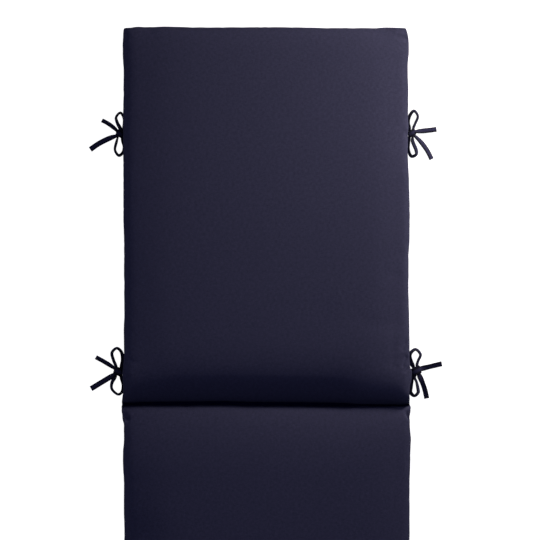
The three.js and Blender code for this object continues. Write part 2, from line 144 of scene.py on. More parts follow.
def lightSky(s):
    world = scene.world or bpy.data.worlds.new("sky")
    scene.world = world
    world.use_nodes = True
    tree = world.node_tree
    lighting = tree.nodes["Background"]
    feed(tree, lighting, {"Color": s["skyColour"], "Strength": s["skyLight"]})
    seen = addNode(tree, "Background", {"Strength": s["skySeen"]})
    mix = addNode(tree, "MixShader", {
        0: addNode(tree, "LightPath").outputs["Is Camera Ray"],
        1: lighting.outputs[0], 2: seen.outputs[0],
    })
    feed(tree, tree.nodes["World Output"], {"Surface": mix.outputs[0]})


bpy.ops.object.select_all(action="DESELECT")
addFloor(studio)
lightSky(studio)
for lamp in lamps:
    addLamp(lamp)
scene.view_settings.view_transform = "Standard"
print("camera, floor and lights placed")


# Tables: each column is read along its key column by a smooth curve that never overshoots.
def readTable(table, key, column, at):
    x = np.array(table[key], float)
    y = np.array(table[column], float)
    step = np.diff(x)
    slope = np.diff(y) / step
    product = slope[:-1] * slope[1:]
    total = np.where(product > 0, slope[:-1] + slope[1:], 1)
    inner = np.where(product > 0, 2 * product / total, 0)
    tangent = np.concatenate([[slope[0]], inner, [slope[-1]]])
    i = np.clip(np.searchsorted(x, at, side="right") - 1, 0, len(step) - 1)
    t = np.clip((at - x[i]) / step[i], 0, 1)
    rise = 3 * t**2 - 2 * t**3
    bend = (t**3 - 2 * t**2 + t) * tangent[i] + (t**3 - t**2) * tangent[i + 1]
    return y[i] + (y[i + 1] - y[i]) * rise + bend * step[i]


def ease(t):
    t = np.clip(t, 0, 1)
    return t * t * (3 - 2 * t)


def unit(ways):
    return ways / np.linalg.norm(ways, axis=-1, keepdims=True)


# Cloth: colours, the thread pitch in metres and how strongly each effect shows. The canvas has one more
# colour, painted shade for hollows that hardly any light reaches, and the tape painted shade at its
# edges.
canvasLook = {
    "dark": (0.0153, 0.0153, 0.0333), "light": (0.0287, 0.0287, 0.0572),
    "pitch": 0.00055, "weaveDepth": 0.00016, "roughness": 0.86, "roughRange": 0.06,
    "specular": 0.2, "sheen": 0.08, "sheenColour": (0.55, 0.6, 1.0), "paintedShade": (0, 0, 0.012),
}
tapeLook = {
    "dark": (0.0105, 0.0103, 0.0275), "light": (0.0152, 0.0149, 0.0385),
    "pitch": 0.0005, "weaveDepth": 0.00014, "roughness": 0.84, "roughRange": 0.06,
    "specular": 0.1, "sheen": 0.04, "sheenColour": (0.55, 0.6, 1.0),
    "edgeStart": 0.0026, "edgeEnd": 0.0036, "edgeShade": 0.25,
}

# The threads' thick and thin places: how finely they vary along and across the cloth, how much each
# kind counts, and which values of their sum are the darkest and the lightest.
slubLook = {
    "across": (130, 800, 1), "down": (800, 130, 1), "broad": (170, 170, 1), "detail": 3,
    "acrossShare": 0.45, "downShare": 0.35, "broadShare": 0.4, "darkest": 0.4, "lightest": 0.8,
}


# The result of a Math node, from sockets or plain numbers.
def calc(tree, operation, *values):
    return addNode(tree, "Math", dict(enumerate(values)), operation=operation).outputs[0]


# Noise drawn out along one way of the cloth, or the same both ways.
def slubs(tree, place, way):
    stretch = addNode(tree, "VectorMath", {0: place, 1: slubLook[way]}, operation="MULTIPLY")
    grain = {"Vector": stretch.outputs[0], "Scale": 1, "Detail": slubLook["detail"]}
    return addNode(tree, "TexNoise", grain, noise_dimensions="2D").outputs["Fac"]


# A new node group, with the name and kind of each socket.
def newGroup(name, inputs, outputs):
    tree = bpy.data.node_groups.new(name, "ShaderNodeTree")
    for way, sockets in (("INPUT", inputs), ("OUTPUT", outputs)):
        for socket, kind in sockets.items():
            tree.interface.new_socket(socket, in_out=way, socket_type="NodeSocket" + kind)
    return tree, tree.nodes.new("NodeGroupInput"), tree.nodes.new("NodeGroupOutput")


# A plain weave, from a place on the cloth in metres: the threads' height, and their uneven shade.
def weaveGroup():
    tree, start, end = newGroup("plain weave", {"Place": "Vector", "Pitch": "Float"},
                                {"Height": "Float", "Shade": "Float"})
    split = addNode(tree, "SeparateXYZ", {0: start.outputs["Place"]})
    turn = calc(tree, "DIVIDE", math.pi, start.outputs["Pitch"])
    warp, weft = (calc(tree, "SINE", calc(tree, "MULTIPLY", split.outputs[way], turn)) for way in "XY")
    warpOnTop = calc(tree, "GREATER_THAN", calc(tree, "MULTIPLY", warp, weft), 0.0)
    warpRise = calc(tree, "MULTIPLY", calc(tree, "ABSOLUTE", warp), warpOnTop)
    weftOnTop = calc(tree, "SUBTRACT", 1.0, warpOnTop)
    weftRise = calc(tree, "MULTIPLY", calc(tree, "ABSOLUTE", weft), weftOnTop)
    shade = 0.0
    for way in ("down", "across", "broad"):
        slub = slubs(tree, start.outputs["Place"], way)
        shade = calc(tree, "MULTIPLY_ADD", slub, slubLook[way + "Share"], shade)
    feed(tree, end, {"Height": calc(tree, "ADD", warpRise, weftRise), "Shade": shade})
    return tree


# Painted shade on the tape's two edges, where they roll away from the light: a mask that rises from the
# middle of the tape to its sides.
def edgeShadeGroup():
    tree, start, end = newGroup("painted edge shade", {"Place": "Vector", "Start": "Float", "End": "Float"},
                                {"Mask": "Float"})
    split = addNode(tree, "SeparateXYZ", {0: start.outputs["Place"]})
    reach = {"Value": calc(tree, "ABSOLUTE", split.outputs["X"]),
             "From Min": start.outputs["Start"], "From Max": start.outputs["End"]}
    ramp = addNode(tree, "MapRange", reach, interpolation_type="SMOOTHSTEP")
    feed(tree, end, {"Mask": ramp.outputs["Result"]})
    return tree


# A Mix node's two colours are its inputs 6 and 7, and the mixed one is its output 2.
def mixColours(tree, share, first, second):
    mix = addNode(tree, "Mix", {6: first, 7: second, "Factor": share}, data_type="RGBA")
    return mix.outputs[2]


# The cloth of the cover or the tape. The last argument names the attribute that holds the painted
# shade.
def clothMaterial(name, look, weave, edges=None, paintedShade=None):
    material = bpy.data.materials.new(name)
    material.use_nodes = True
    tree = material.node_tree
    place = addNode(tree, "UVMap", uv_map="cloth").outputs["UV"]
    laid = {"Place": place, "Pitch": look["pitch"]}
    threads = addNode(tree, "Group", laid, node_tree=weave).outputs
    contrast = addNode(tree, "MapRange", {
        "Value": threads["Shade"], "From Min": slubLook["darkest"], "From Max": slubLook["lightest"],
    }).outputs["Result"]
    colour = mixColours(tree, contrast, look["dark"], look["light"])
    smoothest = look["roughness"] - look["roughRange"] / 2
    relief = {"Distance": look["weaveDepth"], "Height": threads["Height"]}
    bump = addNode(tree, "Bump", relief)
    specular, sheen = look["specular"], look["sheen"]
    # Painted shade on the tape's rolled edges, where they turn away from the light.
    if edges:
        band = {"Place": place, "Start": look["edgeStart"], "End": look["edgeEnd"]}
        mask = addNode(tree, "Group", band, node_tree=edges).outputs["Mask"]
        edgeColour = [value * look["edgeShade"] for value in look["dark"]]
        colour = mixColours(tree, mask, colour, edgeColour)
    # Painted shade from the mesh attribute: the colour is painted toward a near-black blue, and the
    # specular and sheen fade out with it. depth is the painted shade's share.
    if paintedShade:
        depth = addNode(tree, "Attribute", attribute_name=paintedShade).outputs["Fac"]
        colour = mixColours(tree, depth, colour, look["paintedShade"])
        lit = calc(tree, "SUBTRACT", 1.0, depth)
        specular, sheen = (calc(tree, "MULTIPLY", lit, value) for value in (specular, sheen))
    feed(tree, tree.nodes["Principled BSDF"], {
        "Base Color": colour, "Normal": bump.outputs["Normal"],
        "Roughness": calc(tree, "MULTIPLY_ADD", contrast, look["roughRange"], smoothest),
        "Specular IOR Level": specular, "Sheen Weight": sheen, "Sheen Tint": look["sheenColour"],
    })
    return material


weave = weaveGroup()
canvas = clothMaterial("canvas", canvasLook, weave, paintedShade="paintedShade")
tape = clothMaterial("tape", tapeLook, weave, edgeShadeGroup())
print("cloth materials made")


# The cushion, in millimetres until its points are finished.
cushionSizes = {
    "length": 1956, "halfWidth": 293.3, "back": 768,
    "crown": 75, "bottomSeam": 6, "rimHeight": 2, "bulgeHeight": 56,
    "leftInset": 3.4, "rightInset": 1.6, "endInset": 3, "bottomSeamInset": 6.5, "flatInset": 17,
    "cornerDroop": 0.4, "droopReach": 60,   # how much of the ends' fall is left at a corner
    "channelFloor": 9, "grooveDepth": 4, "grooveReach": 30,
    "backTight": 35, "seatTight": 15,       # how far the narrowing of a roll reaches
    "headReach": 60, "creaseReach": 150,
    "foldEven": 0.35,                       # the share of a fold, each way, before it fades
    "cornerReach": 25, "cornerBulge": 0.8, "cornerRadius": 1.6, "bulgePower": 0.8, "rimRound": 0.35,
    "rowSpacing": 6, "columnSpacing": 8,
    "closeRows": [(12, 46, 2.5), (180, 236, 3), (640, 714, 2.5), (776, 814, 2.5)],
    "seamSteps": [0, 1.2, 2.6, 4.5, 7, 9.5, 12, 15, 18.5, 22.5, 27, 32, 38, 44, 50],
    "sideSteps": [0.02, 0.045, 0.08, 0.14, 0.22, 0.32, 0.43, 0.54, 0.65, 0.76, 0.86, 0.92, 0.96, 0.98],
}

# How far the face still rises to its crown, by the distance from a side's seam or an end's seam.
edgeRise = {
    "distance": [0, 3, 7, 11, 16, 21, 30, 40, 52, 70, 93, 130, 200, 290],
    "left": [17.3, 15.3, 13.6, 12.2, 11, 10, 8.7, 7.4, 6, 4.2, 2.6, 1.3, 0.3, 0],
    "right": [13.8, 11.4, 9.8, 8.8, 8, 7.4, 6.4, 5.2, 4, 2.75, 1.9, 1.3, 0.6, 0],
    "end": [7, 6.2, 5.3, 4.5, 3.6, 2.9, 1.9, 1.1, 0.6, 0.3, 0.1, 0, 0, 0],
}

# How far the widest line of the side stands out past half the width.
sideLine = {
    "fromHead": [0, 9, 20, 36, 52, 62, 90, 128, 190, 250, 312, 385, 435, 466, 496, 527, 588, 620,
                 650, 676, 690, 704, 716, 732, 750, 764, 773, 781, 789, 797, 813, 838, 873, 901, 930,
                 980, 1915, 1956],
    "left": [-0.4, 0.3, 0.1, 0.8, 0.5, 0.1, -1.4, -1, -0.2, -0.4, -0.7, -0.7, -2, -2.2, -1.9, -2.4,
             -2.4, -1.4, -1.8, -1.7, -0.2, 1.4, 1, 0.5, 2, 6, 6.1, 3.6, 2.7, 0.4, -0.8, -1.2, 0.7,
             0.2, -1.4, -1, -0.7, -3],
    "right": [-8.3, -5.4, -2.8, -1.8, -2.2, -3.2, -4, -3, -3.2, -4, -1.4, 0.2, -0.3, -2.2, -2, -2.3,
              -0.8, -0.3, -0.3, -0.4, 0.8, 4.6, 3.6, 0, -0.6, 1.2, 3.3, 0.6, -0.3, 0.4, 0.8, 2.5,
              1.3, 0.8, -0.3, -0.2, -0.3, -3.5],
}

# How far the head end falls back, and how far the hinge crease wanders toward the head.
headLine = {
    "x": [-292, -278, -265, -250, -200, -155, -115, 9, 60, 90, 131, 213, 254, 275, 292],
    "back": [-1.2, -1, -2.3, -1.9, -2.6, -1.1, -0.9, -1.4, -1, -0.4, 0.5, 0.5, -0.7, -0.2, -0.7],
}
creaseLine = {
    "x": [-292, -250, -160, -95, -30, 30, 90, 150, 190, 240, 275, 292],
    "toHead": [-2.6, -1.2, -0.8, 0, -1.6, -1.8, -2.5, -3.4, -4.6, -5, -4.8, -3.8],
}

# The hinge channel: distance to the crease, and share of the full thickness above its floor.
hingeRoll = {
    "toHead": [-170, -137, -105, -75, -58, -45, -36, -28, -20, -14, -11, -9, -7.5, -6, -5, -4,
               -3, -1.5, 0, 1.5, 2.4, 3.2, 4, 5, 7, 11, 16, 26, 37, 47, 57, 68, 78, 88, 98, 110,
               130, 150, 170],
    "rise": [1, 0.997, 0.968, 0.911, 0.856, 0.804, 0.76, 0.714, 0.658, 0.602, 0.555, 0.505, 0.44, 0.34,
             0.23, 0.12, 0.04, 0, 0, 0, 0.02, 0.06, 0.11, 0.145, 0.18, 0.242, 0.318, 0.466, 0.615,
             0.73, 0.82, 0.873, 0.91, 0.938, 0.959, 0.977, 0.992, 0.998, 1],
    "under": [-170, -137, -107, -84, -72, -62, -54, -47, -41, -36, -32, -28, -24, -20, -16, -12,
              -8, -4, 0, 4, 7, 10, 13, 16, 20, 24, 29, 36, 43, 51, 59, 68, 78, 88, 98, 110,
              130, 150, 170],
}

# How wide the hinge's two rolls are: narrower near the sides, and most of all at the right.
rollWidth = {
    "x": [-292, -240, -170, 60, 130, 200, 250, 292],
    "back": [0.4, 0.72, 1, 1, 0.95, 0.6, 0.4, 0.14],
    "seat": [0.7, 0.85, 1, 1, 0.9, 0.65, 0.38, 0.26],
}

# How much of its full fall the face has at its sides, from the head end on.
fallShare = {
    "fromHead": [0, 40, 130, 209, 291, 373, 454, 536, 598, 650, 700, 730, 860, 980, 1045, 1150, 1956],
    "left": [0.95, 1, 1, 1, 1, 1.04, 1.06, 1.1, 1.14, 1.14, 1.1, 1.05, 1.2, 1.45, 2, 1.3, 1.3],
    "right": [0.35, 0.5, 0.88, 1.25, 1.05, 1.25, 1.38, 1.6, 1.75, 1.35, 1.2, 1.1, 1.1, 1.1, 1.1, 1.1,
              1.1],
}


def evenSteps(start, end, spacing):
    count = max(1, round((end - start) / spacing))
    return [start + (end - start) * i / count for i in range(1, count)]


# Puts more rows between those in each of the ranges given as start, end and spacing.
def closerRows(rows, ranges):
    more = []
    for start, end, spacing in ranges:
        for low, high in zip(rows, rows[1:]):
            if low >= start and high <= end:
                more += evenSteps(low, high, spacing)
    return sorted(rows + more)


# Distances from the head end of all the rows of points, on the face and on the underside.
def rowPlaces(s):
    head = s["endInset"]
    foot = s["length"] - s["endInset"]
    rows = [head + step for step in s["seamSteps"]]
    for place in sorted(s["back"] - d for d in hingeRoll["toHead"]):
        rows += evenSteps(rows[-1], place, s["rowSpacing"]) + [place]
    footRows = [foot - step for step in reversed(s["seamSteps"])]
    rows += evenSteps(rows[-1], footRows[0], s["rowSpacing"]) + footRows
    at = np.array(closerRows(rows, s["closeRows"]))
    toHead = s["back"] - at
    under = readTable(hingeRoll, "toHead", "under", toHead)
    inRoll = (toHead > hingeRoll["toHead"][0]) & (toHead < hingeRoll["toHead"][-1])
    return at, np.where(inRoll, s["back"] - under, at)


def faceWidth(s):
    return 2 * s["halfWidth"] - s["leftInset"] - s["rightInset"]


# The columns, as distances from the left seam on a face of the usual width.
def columnPlaces(s):
    full = faceWidth(s)
    left = list(s["seamSteps"])
    right = [full - step for step in reversed(s["seamSteps"])]
    return np.array(left + evenSteps(left[-1], right[0], s["columnSpacing"]) + right)


# From the centre line to the widest line of one side.
def sideAt(s, which, at):
    return s["halfWidth"] + readTable(sideLine, "fromHead", which, at)


# The face as a grid of points, rows by columns.
def faceGrid(at, columns, s):
    at = at[:, None]
    left = s["leftInset"] - sideAt(s, "left", at)
    right = sideAt(s, "right", at) - s["rightInset"]
    full = faceWidth(s)
    edge = s["seamSteps"][-1]
    share = (columns[None, :] - edge) / (full - 2 * edge)
    x = left + edge + (right - left - 2 * edge) * share
    x = np.where(share < 0, left + columns, x)
    x = np.where(share > 1, right - (full - columns), x)
    headBack = readTable(headLine, "x", "back", x) * ease(1 - at / s["headReach"])
    fromCrease = at - s["back"]
    pull = readTable(creaseLine, "x", "toHead", x) * ease(1 - np.abs(fromCrease) / s["creaseReach"])
    y = s["length"] / 2 - at - headBack + pull
    fromLeft = columns[None, :] + 0 * at
    falls = [readTable(edgeRise, "distance", which, apart) * readTable(fallShare, "fromHead", which, at)
             for which, apart in (("left", fromLeft), ("right", full - fromLeft))]
    fromSide = np.minimum(fromLeft, full - fromLeft)
    droop = s["cornerDroop"] + (1 - s["cornerDroop"]) * ease(fromSide / s["droopReach"])
    fromEnd = np.minimum(at, s["length"] - at) - s["endInset"]
    endFall = readTable(edgeRise, "distance", "end", fromEnd) * droop
    z = s["crown"] - np.where(fromLeft < full / 2, *falls) - endFall
    past = 0 * x
    for part, tight, side in (("back", s["backTight"], -1), ("seat", s["seatTight"], 1)):
        narrow = 1 / readTable(rollWidth, "x", part, x) - 1
        past = past + side * tight * (1 - np.exp(-np.maximum(fromCrease * side, 0) / tight)) * narrow
    rise = readTable(hingeRoll, "toHead", "rise", -fromCrease - past)
    z = s["channelFloor"] + (z - s["channelFloor"]) * rise
    return roundCorners(np.stack([x, y, z], axis=2), at, columns, s)


# Rounds the face's four corners, which are square in the grid.
def roundCorners(face, at, columns, s):
    radius = s["cornerRadius"]
    full = faceWidth(s)
    fromSide = np.minimum(columns, full - columns)[None, :]
    fromEnd = np.minimum(at, s["length"] - at) - s["endInset"]
    u = np.clip(1 - fromSide / radius, 0, 1)
    v = np.clip(1 - fromEnd / radius, 0, 1)
    towardX = np.where(columns < full / 2, -1, 1)[None, :]
    towardY = np.where(at < s["length"] / 2, 1, -1)
    face[..., 0] -= towardX * radius * u * (1 - np.sqrt(1 - v * v / 2))
    face[..., 1] -= towardY * radius * v * (1 - np.sqrt(1 - u * u / 2))
    return face


# The face's edge as one loop of grid places, clockwise from above.
def edgeLoop(rows, columns):
    places = [(0, i) for i in range(columns)]
    places += [(j, columns - 1) for j in range(1, rows)]
    places += [(rows - 1, i) for i in range(columns - 2, -1, -1)]
    places += [(j, 0) for j in range(rows - 2, 0, -1)]
    return np.array(places).T


# The way out at each place of the edge, square to the line from the place before to the next one.
def wayOut(top):
    way = np.roll(top, -1, axis=0) - np.roll(top, 1, axis=0)
    return unit(np.stack([-way[:, 1], way[:, 0], 0 * way[:, 0]], axis=1))


# The side and the rim of the underside, as rings of points below the face's edge.
def sideRings(top, at, below, endways, s):
    groove = s["grooveDepth"] * ease(1 - np.abs(below - s["back"]) / s["grooveReach"])
    shift = below - at

    def rimPoints(inset, height):
        x = top[:, 0] * (1 - inset / s["halfWidth"])
        y = (top[:, 1] - shift) * (1 - 2 * inset / s["length"])
        return np.stack([x, y, height + groove], axis=1)

    inset = np.where(top[:, 0] < 0, s["leftInset"], s["rightInset"])
    inset = np.where(endways, s["endInset"], inset)
    down = s["bottomSeamInset"] - s["endInset"]
    bottom = rimPoints(down, s["bottomSeam"])
    toEnd = np.minimum(at, s["length"] - at)
    toCorner = np.where(endways, s["halfWidth"] - np.abs(top[:, 0]), toEnd)
    corner = s["cornerBulge"] + (1 - s["cornerBulge"]) * ease(toCorner / s["cornerReach"])
    height = (top[:, 2] - s["bottomSeam"]) / (s["bulgeHeight"] - s["bottomSeam"])
    bulge = (inset + down / 2) * corner * np.clip(height, 0, 1)
    out = wayOut(top)
    rings = [top]
    for step in s["sideSteps"]:
        lift = bulge[:, None] * math.sin(math.pi * step) ** s["bulgePower"]
        rings.append(top + (bottom - top) * step + out * lift)
    rings.append(bottom)
    roundInset = down + (s["flatInset"] - s["bottomSeamInset"]) * s["rimRound"]
    rings.append(rimPoints(roundInset, s["rimHeight"]))
    rings.append(rimPoints(s["flatInset"] - s["endInset"], 0))
    return np.array(rings)


# All the points of the cushion's cover, as a grid and rings. edge has the rows and columns of the
# face's edge, around how far round the seam each of its places is, endways which of them are on an
# end, and steps how far down the side each ring is.
def coverShape(s):
    at, below = rowPlaces(s)
    columns = columnPlaces(s)
    face = faceGrid(at, columns, s)
    j, i = edgeLoop(*face.shape[:2])
    endways = ((j == 0) | (j == len(at) - 1)) & (i > 0) & (i < len(columns) - 1)
    rings = sideRings(face[j, i], at[j], below[j], endways, s)
    full = faceWidth(s)
    around = [columns, full + at[1:], full + s["length"] + (full - columns[-2::-1]),
              2 * full + s["length"] + (s["length"] - at[-2:0:-1])]
    return {"at": at, "columns": columns, "face": face, "rings": rings, "edge": (j, i),
            "endways": endways, "around": np.concatenate(around),
            "steps": np.array([0] + s["sideSteps"] + [1])}


def gridQuads(index):
    corners = [index[:-1, :-1], index[1:, :-1], index[1:, 1:], index[:-1, 1:]]
    return np.stack(corners, axis=-1).reshape(-1, 4)


# The faces between one ring of points and the ring ahead of it, each ring closed on itself.
def ringQuads(here, ahead):
    corners = [here, np.roll(here, -1, axis=-1), np.roll(ahead, -1, axis=-1), ahead]
    return np.stack(corners, axis=-1).reshape(-1, 4)


# The canvas of the sides as a strip: each edge place's distance round it, and each ring's depth.
def stripPlaces(rings):
    gap = np.linalg.norm(rings[0] - np.roll(rings[0], -1, axis=0), axis=1)
    drop = np.linalg.norm(np.diff(rings, axis=0), axis=2).mean(axis=1)
    return np.concatenate([[0], np.cumsum(gap)]), np.concatenate([[0], np.cumsum(drop)])


# The flat underside as a grid like the face's, and the numbers of its points in the mesh.
def underside(shape, ringIndex):
    edge, rim = shape["edge"], shape["rings"][-1]
    rows, columns = shape["face"].shape[:2]
    under = np.zeros_like(shape["face"])
    under[edge] = rim
    spread = (shape["columns"] / shape["columns"][-1])[None, :, None]
    under = under[:, :1] + (under[:, -1:] - under[:, :1]) * spread
    under[edge] = rim
    index = np.zeros((rows, columns), int)
    index[edge] = ringIndex[-1]
    inner = np.arange((rows - 2) * (columns - 2)).reshape(rows - 2, columns - 2)
    index[1:-1, 1:-1] = ringIndex[-1, -1] + 1 + inner
    return under, index


# One mesh from the shape, with its canvas laid out in metres: the face and underside as they lie,
# the sides as a strip along the seam.
def coverMesh(name, shape, withUnderside=True):
    face, rings = shape["face"], shape["rings"]
    index = np.arange(face[..., 0].size).reshape(face.shape[:2])
    edge = index[shape["edge"]]
    ringIndex = index.size + np.arange((len(rings) - 1) * len(edge)).reshape(-1, len(edge))
    ringIndex = np.concatenate([edge[None, :], ringIndex])
    points = [face.reshape(-1, 3), rings[1:].reshape(-1, 3)]
    quads = [gridQuads(index)]
    spots = [face.reshape(-1, 3)[quads[0], :2]]
    reach, depth = stripPlaces(rings)
    for k, (upper, lower) in enumerate(zip(ringIndex, ringIndex[1:])):
        quads.append(ringQuads(upper, lower))
        across = np.stack([reach[:-1], reach[1:], reach[1:], reach[:-1]], axis=1)
        down = np.broadcast_to([depth[k], depth[k], depth[k + 1], depth[k + 1]], across.shape)
        spots.append(np.stack([across, down], axis=-1))
    if withUnderside:
        under, underIndex = underside(shape, ringIndex)
        points.append(under[1:-1, 1:-1].reshape(-1, 3))
        quads.append(gridQuads(underIndex)[:, ::-1])
        spots.append(under.reshape(-1, 3)[gridQuads(index)[:, ::-1], :2])
    return meshFrom(name, np.concatenate(points) * mm, np.concatenate(quads).tolist(),
                    np.concatenate(spots).reshape(-1, 2) * mm)


# A mesh object with smooth faces. There is one spot on the cloth, in metres, for each corner.
def meshFrom(name, points, faces, spots):
    mesh = bpy.data.meshes.new(name)
    mesh.from_pydata(points.tolist(), [], faces)
    mesh.polygons.foreach_set("use_smooth", [True] * len(mesh.polygons))
    layer = mesh.uv_layers.new(name="cloth")
    layer.data.foreach_set("uv", np.asarray(spots, np.float32).ravel())
    piece = bpy.data.objects.new(name, mesh)
    scene.collection.objects.link(piece)
    return piece


# The cloth's own work: a plain form of the cover with a little too much canvas is blown up against
# its seams, which are a little too short, so that the canvas puckers beside them.
clothSettings = {
    "grid": {"rowSpacing": 6, "columnSpacing": 9, "closeRows": [],
             "seamSteps": [0, 5, 10, 16, 23, 31, 40, 50],
             "sideSteps": [0.1, 0.22, 0.36, 0.5, 0.64, 0.78, 0.9]},
    "quality": 5, "pressure": 4, "extraCanvas": 0.012, "seamShrink": 0.03, "mass": 0.05, "frames": 20,
    "hold": 0.7, "holdFrom": 30, "holdFade": 70, "leastHold": 0.01,   # the filling's hold on the face
    "creaseNear": 0.6, "creaseHeld": 0.5,
    "reliefFrom": 10, "reliefFade": 32, "smoothReach": 20, "strength": 0.3, "cap": 0.9,
    "endBlend": 50,                # where a side's puckers give way to those of an end or the crease
}


# How firmly each point of the face is held: not near a seam, more and more farther in, and wholly
# in the crease.
def heldShares(shape, s, cloth):
    x, at = shape["columns"][None, :], shape["at"][:, None]
    fromSide = np.minimum(x, shape["columns"][-1] - x)
    fromEdge = np.minimum(fromSide, np.minimum(at, s["length"] - at))
    toCrease = np.abs(at - s["back"])
    fromEdge = np.minimum(fromEdge, cloth["creaseNear"] * toCrease)
    held = cloth["hold"] * ease((fromEdge - cloth["holdFrom"]) / cloth["holdFade"])
    held[toCrease[:, 0] < cloth["creaseHeld"]] = 1
    return held


# Groups of points for the cloth: pin for what is held, and seam for what the seams draw in.
def groupPoints(piece, shape, held, least):
    edge = np.ravel_multi_index(shape["edge"], held.shape)

    def ringPoints(ring):
        start = held.size + (ring - 1) * len(edge)
        return list(range(start, start + len(edge)))

    bottomSeam = len(shape["steps"]) - 1
    pin = piece.vertex_groups.new(name="pin")
    for k in np.nonzero(held.ravel() > least)[0]:
        pin.add([int(k)], float(held.ravel()[k]), "REPLACE")
    pin.add(ringPoints(bottomSeam + 1) + ringPoints(bottomSeam + 2), 1.0, "REPLACE")
    seam = piece.vertex_groups.new(name="seam")
    seam.add(edge.tolist() + ringPoints(bottomSeam), 1.0, "REPLACE")


# Runs the cloth on a piece, removes the piece and gives its points as they ended.
def runCloth(piece, cloth):
    modifier = piece.modifiers.new("cloth", "CLOTH")
    settings = modifier.settings
    settings.quality = cloth["quality"]
    settings.mass = cloth["mass"]
    settings.use_pressure = True
    settings.uniform_pressure_force = cloth["pressure"]
    settings.effector_weights.gravity = 0
    settings.vertex_group_mass = "pin"
    settings.vertex_group_shrink = "seam"
    settings.shrink_min = -cloth["extraCanvas"]
    settings.shrink_max = cloth["seamShrink"]
    modifier.collision_settings.use_collision = False
    for step in range(1, cloth["frames"] + 1):
        scene.frame_set(step)
    bpy.ops.object.select_all(action="DESELECT")
    bpy.context.view_layer.objects.active = piece
    piece.select_set(True)
    bpy.ops.object.modifier_apply(modifier="cloth")
    moved = np.zeros(len(piece.data.vertices) * 3)
    piece.data.vertices.foreach_get("co", moved)
    bpy.data.objects.remove(piece)
    scene.frame_set(1)
    return moved.reshape(-1, 3) / mm


def simulatedCover(s, cloth):
    shape = coverShape({**s, **cloth["grid"]})
    piece = coverMesh("cloth-trial", shape, withUnderside=False)
    held = heldShares(shape, s, cloth)
    groupPoints(piece, shape, held, cloth["leastHold"])
    moved = runCloth(piece, cloth)
    shape["faceMove"] = moved[:held.size].reshape(shape["face"].shape) - shape["face"]
    below = shape["rings"][1:]
    ringMove = moved[held.size:].reshape(below.shape) - below
    shape["ringMove"] = np.concatenate([shape["faceMove"][shape["edge"]][None], ringMove])
    return shape


# Smooths a field along its first axis, whose places may be unevenly spaced. A loop has a length.
def smoothAlong(places, field, reach, loopLength=None):
    apart = np.abs(places[:, None] - places[None, :])
    if loopLength:
        apart = np.minimum(apart, loopLength - apart)
    weight = np.exp(-2 * (apart / reach) ** 2) * np.gradient(places)[None, :]
    weight /= weight.sum(axis=1, keepdims=True)
    return np.tensordot(weight, field, axes=1)


def resample(places, field, newPlaces):
    i = np.clip(np.searchsorted(places, newPlaces, side="right") - 1, 0, len(places) - 2)
    share = np.clip((newPlaces - places[i]) / (places[i + 1] - places[i]), 0, 1)
    share = share.reshape(-1, *[1] * (field.ndim - 1))
    return field[i] * (1 - share) + field[i + 1] * share


# Keeps each move's direction and holds its length under the cap.
def softCap(relief, cap):
    tiny = 1e-9
    size = np.linalg.norm(relief, axis=-1, keepdims=True) + tiny
    return relief * cap * np.tanh(size / cap) / size


# Takes only the puckers from the simulated cover: what it moved, less the smooth part of that.
def addPuckers(shape, trial, s, cloth):
    at, columns, move = trial["at"], trial["columns"], trial["faceMove"]
    reach = cloth["smoothReach"]
    alongSide = move - smoothAlong(at, move, reach)
    turned = move.swapaxes(0, 1)
    alongEnd = (turned - smoothAlong(columns, turned, reach)).swapaxes(0, 1)
    fromSide = np.minimum(columns, columns[-1] - columns)[None, :]
    fromEnd = np.minimum(np.minimum(at, s["length"] - at), np.abs(at - s["back"]))[:, None]
    nearSide = ease((fromEnd - fromSide) / cloth["endBlend"] + 0.5)[..., None]
    fade = 1 - ease((np.minimum(fromSide, fromEnd) - cloth["reliefFrom"]) / cloth["reliefFade"])
    relief = (alongSide * nearSide + alongEnd * (1 - nearSide)) * fade[..., None]
    relief = softCap(relief * cloth["strength"], cloth["cap"])
    onRows = resample(at, relief, shape["at"])
    faceRelief = resample(columns, onRows.swapaxes(0, 1), shape["columns"]).swapaxes(0, 1)
    shape["face"] += faceRelief

    loopLength = 2 * (columns[-1] + s["length"])
    rings = trial["ringMove"][:-2].swapaxes(0, 1)
    ringRelief = rings - smoothAlong(trial["around"], rings, reach, loopLength)
    ringRelief = softCap(ringRelief * cloth["strength"], cloth["cap"])
    onLoop = resample(trial["around"], ringRelief, shape["around"]).swapaxes(0, 1)
    onSteps = resample(trial["steps"], onLoop, shape["steps"])
    edgeRelief = faceRelief[shape["edge"]]
    fadeDown = (1 - shape["steps"])[:, None, None]
    onSteps += (edgeRelief - onSteps[0])[None] * fadeDown
    shape["rings"][:-2] += onSteps


# Which way the face looks at each of its points.
def faceNormals(face):
    return unit(np.cross(np.gradient(face, axis=0), np.gradient(face, axis=1)))


# The creases and dimples that show in the face, each a soft trough, or a ridge where it rises.
faceFolds = {
    "x": [270, -291, 287, 279, 278, 283, 281, 240, 180, 289, 284, 262, 266],
    "at": [19, 791, 786, 661, 694.5, 704, 636, 497, 590, 196, 212, 640, 672],
    "endX": [288, -284, 296, 288.5, 288, 291, 272, 270, 272, 283, 289, 256, 256],
    "endAt": [25, 801, 800, 638.5, 670, 695, 668, 514, 618, 217, 226, 664, 694],
    "rise": [-1.7, -4.2, -6.5, -2.9, -3.2, -3.0, -1.3, -0.6, -0.6, 1.4, -1.5, -1.0, -1.0],
    "spread": [5.5, 5, 4.4, 2.8, 2.8, 2.8, 4.5, 9, 14, 4, 3.5, 5, 5],
}


